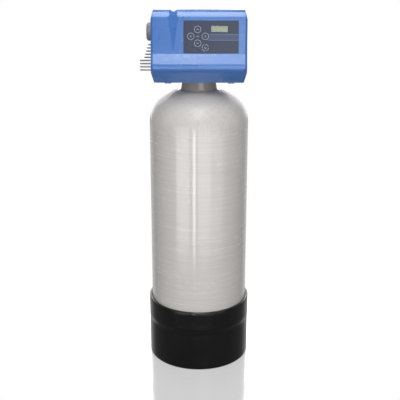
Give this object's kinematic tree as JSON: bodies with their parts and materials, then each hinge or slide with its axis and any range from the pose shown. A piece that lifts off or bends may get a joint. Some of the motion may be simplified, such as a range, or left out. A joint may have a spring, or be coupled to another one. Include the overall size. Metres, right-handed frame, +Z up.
{
  "type": "multimedia water filter",
  "caption": "Tall wound pressure vessel in a plastic boot, with layered filter media inside and a boxed control valve with a keypad, display and manual knob on its neck.",
  "frame": {"origin": "centre of the boot's round base, on the floor", "axes": "+Z up along the vessel's axis, -Y towards the control panel, -X towards the manual knob"},
  "size_m": [0.2885, 0.2726, 0.9501],
  "materials": {
    "boot_plastic": "satin",
    "wound_shell": "gloss",
    "pipe_plastic": "satin",
    "gravel": "matte",
    "garnet": "matte",
    "quartz_sand": "matte",
    "anthracite": "matte",
    "valve_plastic": "satin",
    "spool_plastic": "satin",
    "screw_steel": "satin",
    "bracket_steel": "satin",
    "gear_plastic": "satin",
    "pinion_brass": "satin",
    "motor_metal": "satin",
    "switch_plastic": "satin",
    "knob_plastic": "satin",
    "housing_plastic": "satin",
    "inlet_plastic": "satin",
    "overlay": "satin",
    "window": "gloss",
    "lcd": "satin",
    "board": "satin",
    "keys": "satin"
  },
  "bodies": {
    "vessel": {"base_boot": "boot_plastic", "vessel_shell": "wound_shell", "riser_tube": "pipe_plastic", "bottom_distributor": "pipe_plastic", "top_distributor": "pipe_plastic", "gravel_bed": "gravel", "garnet_bed": "garnet", "sand_bed": "quartz_sand", "anthracite_bed": "anthracite", "valve_body": "valve_plastic", "spool_cap": "valve_plastic", "cap_screws": "screw_steel", "drive_bracket": "bracket_steel", "gear_motor": "motor_metal", "motor_screws": "screw_steel", "position_switch": "switch_plastic", "rear_housing": "housing_plastic", "housing_screws": "screw_steel", "power_inlet": "inlet_plastic"},
    "drive": {"drive_shaft": "gear_plastic", "main_gear": "gear_plastic", "manual_knob": "knob_plastic"},
    "spool": {"spool_piston": "spool_plastic", "piston_rack": "gear_plastic"},
    "motor_rotor": {"motor_pinion": "pinion_brass"},
    "cover": {"front_cover": "housing_plastic", "control_panel": "overlay", "display_window": "window", "lcd_module": "lcd", "circuit_board": "board"},
    "up_key_body": {"up_key": "keys"},
    "left_key_body": {"left_key": "keys"},
    "enter_key_body": {"enter_key": "keys"},
    "right_key_body": {"right_key": "keys"},
    "down_key_body": {"down_key": "keys"},
    "regeneration_key_body": {"regeneration_key": "keys"}
  },
  "joints": [
    {"name": "knob_turn", "type": "hinge", "parent": "vessel", "child": "drive", "pos_m": [0, 0.01787, 0.886], "axis": [1, 0, 0], "range_deg": [0, 114.59]},
    {"name": "spool_slide", "type": "slide", "parent": "vessel", "child": "spool", "axis": [0, 0, -1], "range_m": [0, 0.024]},
    {"name": "motor_spin", "type": "hinge", "parent": "vessel", "child": "motor_rotor", "pos_m": [0.043, 0.04238, 0.886], "axis": [1, 0, 0], "range_deg": [-287, 0]},
    {"name": "cover_pull", "type": "slide", "parent": "vessel", "child": "cover", "axis": [0, -1, 0], "range_m": [0, 0.12]},
    {"name": "up_press", "type": "slide", "parent": "cover", "child": "up_key_body", "axis": [0, 0.992, -0.1266], "range_m": [0, 0.0008], "stiffness_N_per_m": 600},
    {"name": "left_press", "type": "slide", "parent": "cover", "child": "left_key_body", "axis": [0, 0.992, -0.1266], "range_m": [0, 0.0008], "stiffness_N_per_m": 600},
    {"name": "enter_press", "type": "slide", "parent": "cover", "child": "enter_key_body", "axis": [0, 0.992, -0.1266], "range_m": [0, 0.0008], "stiffness_N_per_m": 600},
    {"name": "right_press", "type": "slide", "parent": "cover", "child": "right_key_body", "axis": [0, 0.992, -0.1266], "range_m": [0, 0.0008], "stiffness_N_per_m": 600},
    {"name": "down_press", "type": "slide", "parent": "cover", "child": "down_key_body", "axis": [0, 0.992, -0.1266], "range_m": [0, 0.0008], "stiffness_N_per_m": 600},
    {"name": "regeneration_press", "type": "slide", "parent": "cover", "child": "regeneration_key_body", "axis": [0, 0.992, -0.1266], "range_m": [0, 0.0008], "stiffness_N_per_m": 600}
  ],
  "couplings": [
    {"joint": "spool_slide", "follows": "knob_turn", "m_per_rad": 0.012},
    {"joint": "motor_spin", "follows": "knob_turn", "ratio": -2.5}
  ]
}
